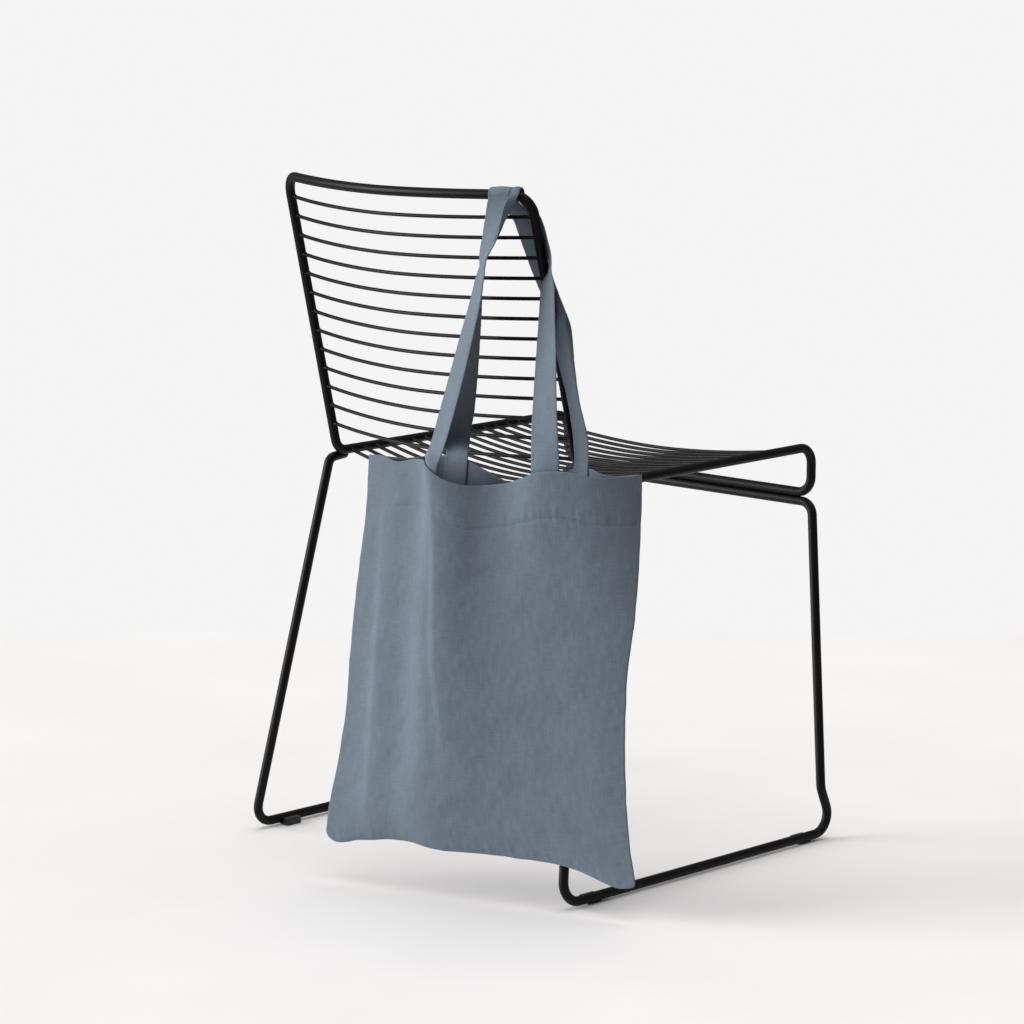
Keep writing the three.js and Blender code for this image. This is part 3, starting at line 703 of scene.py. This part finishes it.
def grid_normals(grid):
    """Unit normals of a grid of points, towards the side from which u runs right and v down."""
    across = np.gradient(grid, axis=1)
    down = np.gradient(grid, axis=0)
    normals = np.cross(down, across)
    return normals / np.linalg.norm(normals, axis=2, keepdims=True)


def grid_marks(count):
    """Marks from 0 to 1 for this many cells: close together at both rims, and even between them."""
    rims = np.array([0.0008, 0.0025])
    return np.concatenate([[0], rims, np.linspace(0.006, 0.994, count - 5), 1 - rims[::-1], [1]])


def column_places(u, v, out):
    """Where each column lies across the panel, from 0 to 1: the cloth is drawn in where a fold climbs."""
    step = np.diff(u, axis=1) * PANEL["width"]
    climb = np.minimum(np.abs(np.diff(out, axis=1)), BELLY["steepest"] * step)
    place = np.concatenate([np.zeros_like(v), np.cumsum(np.sqrt(step**2 - climb**2), axis=1)], axis=1)
    return place / place[:, -1:]


def wrinkled(u, flat_x, flat_y, from_side, from_low, seed):
    """How far puckers, the hem and dents stand out of a panel's smooth shape."""
    puckers = wrinkle("side_puckers", flat_y, from_side, seed)
    puckers = puckers + wrinkle("low_puckers", flat_x, from_low, seed + 1)
    # The row of hem stitches sits in a shallow groove, and gathers the cloth above and below it
    from_stitches = flat_y - CLOTH["hem"]
    gathers = mix(HEM["gathers_left"], 1, smooth((u - HEM["gathers_from"]) / HEM["gathers_over"]))
    groove = HEM["groove"] * mix(HEM["groove_least"], 1, gathers)
    hem = gathers * wrinkle("hem_gathers", flat_x, from_stitches, seed + 2)
    hem = hem - groove * near(from_stitches, 0, HEM["groove_reach"])
    # Wearing and washing leave broad dents, which end at the side seams, and fine ones all over
    dents = DENTS["broad"] * crumple(flat_x, flat_y, DENTS["broad_waves"], seed + 3)
    dents = dents * smooth(from_side / DENTS["ends"])
    dents = dents + DENTS["fine"] * crumple(flat_x, flat_y, DENTS["fine_waves"], seed + 4)
    inside = smooth(from_side / CLOTH["calm"]) * smooth(from_low / CLOTH["calm"])
    return inside * (puckers + hem + dents)


def panel_surface(side, folds, puff, crown_right, top, seed):
    """Middle surface of a panel as a grid, with its own wrinkles; side is 1 in front, -1 behind."""
    u, v = grid_marks(PANEL["columns"])[None, :], grid_marks(PANEL["rows"])[:, None]
    out = relief(folds, puff, crown_right, u, v)
    sag = along(top, "across", "sag", u) * (1 - smooth(v / BELLY["sag_ends"]))
    down = sag + v * along(BOTTOM, "across", "down", u)
    left = along(OUTLINE, "down", "left", down)
    right = along(OUTLINE, "down", "right", down)
    flat_x, flat_y = u * PANEL["width"], v * PANEL["length"]
    from_side = np.minimum(flat_x, PANEL["width"] - flat_x)
    from_low = PANEL["length"] - flat_y
    hand = np.where(u < 0.5, -1, 1)
    # Seams draw the cloth in unevenly, so the edges wander, the two sides out of step with each other
    out_of_step = 40
    wander = hand * wrinkle("side_edge", flat_y + hand * out_of_step, from_side, 3)
    across = mix(left, right, column_places(u, v, out)) + wander
    down = down + wrinkle("low_edge", flat_x, from_low, 5)
    # A sewn corner turns out rounded
    near_side = np.clip(1 - from_side / CLOTH["corner"], 0, 1)
    near_low = np.clip(1 - from_low / CLOTH["corner"], 0, 1)
    drawn_in = 1 - np.maximum(near_side, near_low) / np.maximum(np.hypot(near_side, near_low), 1e-6)
    across = across - hand * near_side * drawn_in * CLOTH["corner"]
    down = down - near_low * drawn_in * CLOTH["corner"]
    out = out + wrinkled(u, flat_x, flat_y, from_side, from_low, seed)
    grid = in_bag(across, side * (CLOTH["at_seam"] + out), down)
    return {"grid": grid, "normals": grid_normals(grid) * side, "u": u, "v": v, "side": side}


def sheet_mesh(name, outer, inner, uv, facing):
    """A closed sheet between two grids of points; facing is 1 where u runs right on the outer one."""
    rows, columns = outer.shape[:2]
    points = metres(np.concatenate([outer.reshape(-1, 3), inner.reshape(-1, 3)]))
    ids = np.arange(rows * columns).reshape(rows, columns)
    back = ids + rows * columns

    def quads(a, b, c, d):
        return np.stack([a.ravel(), b.ravel(), c.ravel(), d.ravel()], axis=1)

    faces = [
        quads(ids[:-1, :-1], ids[1:, :-1], ids[1:, 1:], ids[:-1, 1:]),
        quads(back[:-1, :-1], back[:-1, 1:], back[1:, 1:], back[1:, :-1]),
        quads(ids[0, :-1], ids[0, 1:], back[0, 1:], back[0, :-1]),
        quads(ids[-1, 1:], ids[-1, :-1], back[-1, :-1], back[-1, 1:]),
        quads(ids[1:, 0], ids[:-1, 0], back[:-1, 0], back[1:, 0]),
        quads(ids[:-1, -1], ids[1:, -1], back[1:, -1], back[:-1, -1]),
    ]
    faces = np.concatenate(faces)
    if facing < 0:
        faces = faces[:, ::-1]
    mesh = bpy.data.meshes.new(name)
    mesh.from_pydata(points.tolist(), [], faces.tolist())
    layer = mesh.uv_layers.new(name="flat_cloth")
    both = np.concatenate([uv.reshape(-1, 2), uv.reshape(-1, 2)])
    layer.data.foreach_set("uv", both[faces.ravel()].ravel())
    piece = bpy.data.objects.new(name, mesh)
    bpy.context.collection.objects.link(piece)
    mesh.update()
    select_only(piece)
    bpy.ops.object.shade_smooth()
    return piece


def rounding(distance, radius):
    """Share of the thickness that a soft edge has at a distance from its rim."""
    return np.sqrt(1 - (1 - np.clip(distance / radius, 0.02, 1)) ** 2)


def panel(name, cad_node, surface):
    """One panel: single cloth, folded twice at the hem on its inner side."""
    u, v, normals = surface["u"], surface["v"], surface["normals"]
    flat_x, flat_y = u * PANEL["width"], v * PANEL["length"]
    from_side = np.minimum(flat_x, PANEL["width"] - flat_x)
    from_end = np.minimum(flat_y, PANEL["length"] - flat_y)
    soft = rounding(np.minimum(from_side, from_end), CLOTH["rim"])
    # The hem's turned edge lies a millimetre below its row of stitches
    hem = 1 - smooth((flat_y - CLOTH["hem"] - 1) / CLOTH["fold"])
    outer = CLOTH["outer"] * soft
    inner = mix(CLOTH["inner"], CLOTH["hem_inner"], hem) * soft
    uv = np.stack(np.broadcast_arrays(flat_x, flat_y), axis=2) / 1000
    piece = sheet_mesh(
        name,
        surface["grid"] + normals * outer[..., None],
        surface["grid"] - normals * inner[..., None],
        uv,
        surface["side"],
    )
    return finish_piece(piece, name, LINEN, "linen", cad_node)


def on_surface(surface, u, v, off):
    """Points at u, v on a panel, off millimetres outwards from its middle surface."""
    i = np.interp(v, surface["v"][:, 0], np.arange(surface["v"].size))
    j = np.interp(u, surface["u"][0], np.arange(surface["u"].size))
    i0 = np.clip(i.astype(int), 0, surface["v"].size - 2)
    j0 = np.clip(j.astype(int), 0, surface["u"].size - 2)
    s, t = (i - i0)[..., None], (j - j0)[..., None]

    def blend(grid):
        return mix(mix(grid[i0, j0], grid[i0, j0 + 1], t), mix(grid[i0 + 1, j0], grid[i0 + 1, j0 + 1], t), s)

    return blend(surface["grid"]) + blend(surface["normals"]) * off


# Straps

# A strap's sections are five points each, from edge to edge
STRANDS = np.linspace(-0.5, 0.5, 5)
MIDDLE = STRANDS.size // 2


def foot_sections(surface, centre, hand):
    """Sections of a strap's sewn end inside the hem, from above the mouth down to its end."""
    u = (centre - hand * STRANDS * 2 * FOOT["half"]) / FOOT["parts"]
    behind = -(CLOTH["hem_inner"] + STRAP["half"] + FOOT["gap"])
    marks = FOOT["sewn"] / FOOT["length_parts"] * np.arange(FOOT["rows"] + 1) / FOOT["rows"]
    rows = [on_surface(surface, u, np.full(STRANDS.size, v), behind) for v in marks]
    collar = rows[0] + (rows[0] - rows[1]) * FOOT["collar"]
    return [collar, *rows]


def free_section(row):
    """One section of a strap's free run, from a row of its table."""
    a, b = math.radians(row["turn"]), math.radians(row["tilt"])
    inner = np.array([math.cos(a) * math.cos(b), math.sin(a) * math.cos(b), math.sin(b)])
    return np.array([row["x"], row["y"], row["z"]]) + STRANDS[:, None] * row["width"] * inner


def rail_sections(first, x, width):
    """Sections seated on the rail, from the first angle on the bag's side over to the seat's side."""
    reach = ROD / 2 + RAIL_CROSSING["gap"] + STRAP["half"]
    sections = []
    for angle in np.radians(np.linspace(first, RAIL_CROSSING["to"], RAIL_CROSSING["stops"])):
        section = []
        for j in STRANDS:
            place = x + j * width
            along_rail = rail_point(place + 0.5) - rail_point(place - 0.5)
            seatward = np.array([-along_rail[1], along_rail[0], 0])
            seatward /= np.linalg.norm(seatward)
            up = np.cross(along_rail / np.linalg.norm(along_rail), seatward)
            crown = RAIL_CROSSING["crown"] * (1 - 4 * j * j) * max(0, math.sin(angle))
            out = seatward * math.cos(angle) + up * math.sin(angle)
            section.append(rail_point(place) + out * (reach + crown))
        sections.append(np.array(section))
    return sections


def flowing(points, fine):
    """Points on a smooth curve through a run of points, at fractional positions in it.

    Its slopes take the distances between the points into account, so close points make no loops.
    """
    first, last = 2 * points[0] - points[1], 2 * points[-1] - points[-2]
    run = np.concatenate([[first], points, [last]])
    out = []
    for s in fine:
        i = min(int(s), len(points) - 2)
        t = s - i
        p0, p1, p2, p3 = run[i:i + 4]
        d0, d1, d2 = (max(np.linalg.norm(b - a) ** 0.5, 1e-4) for a, b in ((p0, p1), (p1, p2), (p2, p3)))
        m1 = ((p1 - p0) / d0 - (p2 - p0) / (d0 + d1) + (p2 - p1) / d1) * d1
        m2 = ((p2 - p1) / d1 - (p3 - p1) / (d1 + d2) + (p3 - p2) / d2) * d1
        h = t * t * (3 - 2 * t)
        out.append(mix(p1, p2, h) + m1 * t * (1 - t) ** 2 - m2 * t * t * (1 - t))
    return np.array(out)


def strap_surface(surface, plan):
    """Middle surface of a strap as a grid, rows along it and columns across, and its run in millimetres."""
    left_foot, right_foot = plan["feet"]
    sections = [
        *foot_sections(surface, left_foot, -1)[::-1],
        *[free_section(row) for row in plan["rise"]],
        *rail_sections(plan["seated_from"], plan["rail_x"], plan["rail_width"]),
        *[free_section(row) for row in plan["fall"]],
        *foot_sections(surface, right_foot, 1),
    ]
    fine = [0.0]
    for i in range(len(sections) - 1):
        span = np.linalg.norm(sections[i + 1][MIDDLE] - sections[i][MIDDLE])
        steps = max(2, round(span / STRAP["step"]))
        fine += [i + (k + 1) / steps for k in range(steps)]
    edge_to_edge = range(STRANDS.size)
    strands = np.stack([flowing(np.array([row[c] for row in sections]), fine) for c in edge_to_edge], axis=1)
    # Columns are counted in strands, and lie close together at both edges for their rounding
    across = np.concatenate([[0, 0.08, 0.25], np.linspace(0.7, 3.3, STRAP["columns"]), [3.75, 3.92, 4]])
    grid = np.stack([flowing(row, across) for row in strands])
    lengths = np.linalg.norm(np.diff(grid[:, grid.shape[1] // 2], axis=0), axis=1)
    run = np.concatenate([[0], np.cumsum(lengths)])
    return {"grid": grid, "normals": grid_normals(grid), "across": across / edge_to_edge[-1], "run": run}


def strap(name, cad_node, surface):
    """A strap of cloth folded to two layers, with soft edges and a groove along each row of stitches."""
    grid, normals, across = surface["grid"], surface["normals"], surface["across"][None, :]
    run = surface["run"][:, None]
    from_edge = np.minimum(across, 1 - across) * STRAP_WIDTH
    groove = STRAP["groove"] * near(from_edge, STITCH["inset"], STRAP["groove_reach"])
    half = STRAP["half"] * rounding(from_edge, STRAP["rim"]) - groove
    wave = wrinkle("strap_edge", run, from_edge, 31)
    uv = np.stack(np.broadcast_arrays(across * STRAP_WIDTH, run), axis=2) / 1000
    front = grid + normals * (half + wave)[..., None]
    back = grid - normals * (half - wave)[..., None]
    piece = sheet_mesh(name, front, back, uv, 1)
    return finish_piece(piece, name, LINEN, "linen", cad_node)


# Stitches

def stitches(name, places, ways, ups):
    """Rows of short stitches: a small capsule at each place, along its way, with its upper side up."""
    length, radius, sides = STITCH["length"], STITCH["radius"], STITCH["sides"]
    ring = [(math.cos(a), math.sin(a)) for a in np.linspace(0, 2 * math.pi, sides, endpoint=False)]
    # A stitch from tip to tip: shares of its length, and of its radius there
    profile = [(-0.5, 0.0), (-0.42, 0.75), (-0.15, 1.0), (0.15, 1.0), (0.42, 0.75), (0.5, 0.0)]
    rings = profile[1:-1]
    points, faces = [], []
    for place, way, up in zip(places, ways, ups):
        way = way / np.linalg.norm(way)
        side = np.cross(way, up)
        base = len(points)
        points.append(place + way * profile[0][0] * length)
        for at, swell in rings:
            for c, s in ring:
                points.append(place + way * at * length + (side * c + up * s) * swell * radius)
        points.append(place + way * profile[-1][0] * length)
        last = len(points) - 1
        for k in range(sides):
            n = (k + 1) % sides
            faces.append((base, base + 1 + n, base + 1 + k))
            for r in range(len(rings) - 1):
                a = base + 1 + r * sides
                b = a + sides
                faces.append((a + k, a + n, b + n, b + k))
            faces.append((last, last - sides + k, last - sides + n))
    mesh = bpy.data.meshes.new(name)
    mesh.from_pydata(metres(points).tolist(), [], faces)
    mesh.update()
    piece = bpy.data.objects.new(name, mesh)
    bpy.context.collection.objects.link(piece)
    tidy_shell(piece, angle=60)
    return finish_piece(piece, name, THREAD, "linen")


def hem_stitches(name, surface):
    """The row of stitches that holds the hem, as it shows on the outside."""
    u = np.arange(STITCH["hem_end"], PANEL["width"] - STITCH["hem_end"], STITCH["pitch"]) / PANEL["width"]
    v = np.full(u.shape, CLOTH["hem"] / PANEL["length"])
    off = CLOTH["outer"] - STITCH["hem_sunk"]
    places = on_surface(surface, u, v, off)
    a_little_on = 0.002
    ways = on_surface(surface, u + a_little_on, v, off) - places
    ups = on_surface(surface, u, v, off + 1) - places
    return stitches(name, places, ways, ups)


def strap_stitches(name, surface):
    """Two rows of stitches along a strap, on both its faces."""
    inset = STITCH["inset"] / STRAP_WIDTH
    run, grid, normals = surface["run"], surface["grid"], surface["normals"]
    places, ways, ups = [], [], []
    marks = np.arange(STITCH["strap_end"], run[-1] - STITCH["strap_end"], STITCH["pitch"])
    rows = np.interp(marks, run, np.arange(run.size))
    for part in (inset, 1 - inset):
        column = np.interp(part, surface["across"], np.arange(surface["across"].size))
        c, t = int(column), column - int(column)
        line = mix(grid[:, c], grid[:, c + 1], t)
        facing = mix(normals[:, c], normals[:, c + 1], t)
        for row in rows:
            i = min(int(row), run.size - 2)
            place = mix(line[i], line[i + 1], row - i)
            up = mix(facing[i], facing[i + 1], row - i)
            up = up / np.linalg.norm(up)
            for face in (1, -1):
                places.append(place + up * face * (STRAP["half"] - STITCH["strap_sunk"]))
                ways.append(line[i + 1] - line[i])
                ups.append(up * face)
    return stitches(name, places, ways, ups)


# Making of the object

seat_and_back_frame()
sled_base()
back_wires()
seat_wires()
for side_name, hand in (("left", -1), ("right", 1)):
    for end_name in ("rear", "front"):
        glide(f"glide_{side_name}_{end_name}", hand)

front_cloth = panel_surface(1, FRONT_FOLDS, FRONT_PUFF, BELLY["front_right"], FRONT_TOP, 11)
back_cloth = panel_surface(-1, BACK_FOLDS, BACK_PUFF, BELLY["crown"], BACK_TOP, 17)
front_strap_cloth = strap_surface(front_cloth, FRONT_STRAP)
back_strap_cloth = strap_surface(back_cloth, BACK_STRAP)

front_panel = panel("front_panel_cloth", "bag_front_panel", front_cloth)
back_panel = panel("back_panel_cloth", "bag_back_panel", back_cloth)
front_strap = strap("front_strap_cloth", "front_handle", front_strap_cloth)
back_strap = strap("back_strap_cloth", "back_handle", back_strap_cloth)
front_hem_row = hem_stitches("front_hem_stitches", front_cloth)
back_hem_row = hem_stitches("back_hem_stitches", back_cloth)
front_strap_rows = strap_stitches("front_strap_stitches", front_strap_cloth)
back_strap_rows = strap_stitches("back_strap_stitches", back_strap_cloth)


# Stage, light and camera

def stage_floor():
    """A plain pale floor that ends a little behind the object, square to the camera."""
    bpy.ops.object.select_all(action="DESELECT")
    square_on = (0, 0, math.radians(CAMERA["yaw"]))
    bpy.ops.mesh.primitive_plane_add(size=FLOOR_WIDTH, location=(0, 0, 0), rotation=square_on)
    floor = bpy.context.object
    floor.name = "pale_floor"
    made, tree, shader = material("pale_floor_paint")
    place = node(tree, "ShaderNodeTexCoord").outputs["Object"]
    patches = node(tree, "ShaderNodeTexNoise", {"Scale": 3, "Detail": 5}, Vector=place)
    tone = ramp(tree, patches.outputs["Fac"], [(0.3, colour("#f0eeed")), (0.7, colour("#f5f3f2"))])
    tree.links.new(tone.outputs["Color"], shader.inputs["Base Color"])
    shader.inputs["Roughness"].default_value = 0.8
    floor.data.materials.append(made)


def soft_light(name, rightward, forward, upward, spread, strength):
    """An even light from far off, given as the picture sees it: from the right, the front and above."""
    yaw = math.radians(CAMERA["yaw"])
    right = Vector((math.cos(yaw), math.sin(yaw), 0))
    front = Vector((math.sin(yaw), -math.cos(yaw), 0))
    lamp = bpy.data.lights.new(name, "SUN")
    lamp.energy = strength
    lamp.angle = math.radians(spread)
    made = bpy.data.objects.new(name, lamp)
    source = right * rightward + front * forward + Vector((0, 0, upward))
    made.rotation_euler = source.to_track_quat("Z", "Y").to_euler()
    bpy.context.collection.objects.link(made)


def studio():
    """A pale wall behind the object, and broad light from the left and from above."""
    world = bpy.data.worlds.new("studio")
    world.use_nodes = True
    tree = world.node_tree
    sky = tree.nodes["Background"]
    sky.inputs["Color"].default_value = colour("#fefdfd")
    # The wall shows as it is in the picture, and lights the object less than the lamps do
    sight = node(tree, "ShaderNodeLightPath")
    levels = {"To Min": 0.25, "To Max": 0.925}
    strength = node(tree, "ShaderNodeMapRange", levels, Value=sight.outputs["Is Camera Ray"])
    tree.links.new(strength.outputs["Result"], sky.inputs["Strength"])
    bpy.context.scene.world = world
    soft_light("light from the left", rightward=-1, forward=0.06, upward=0.22, spread=45, strength=4.2)
    soft_light("light from above", rightward=0, forward=0, upward=1, spread=60, strength=1.6)
    bpy.context.scene.view_settings.view_transform = "Standard"


def camera():
    """The camera at its solved place, with the photograph's field of view."""
    data = bpy.data.cameras.new("camera")
    data.lens = CAMERA["lens"]
    data.sensor_width = CAMERA["sensor"]
    data.clip_end = 50
    made = bpy.data.objects.new("camera", data)
    made.location = metres(CAMERA["place"])
    made.rotation_euler = (math.radians(90 - CAMERA["down"]), 0, math.radians(CAMERA["yaw"]))
    bpy.context.collection.objects.link(made)
    bpy.context.scene.camera = made


stage_floor()
studio()
camera()
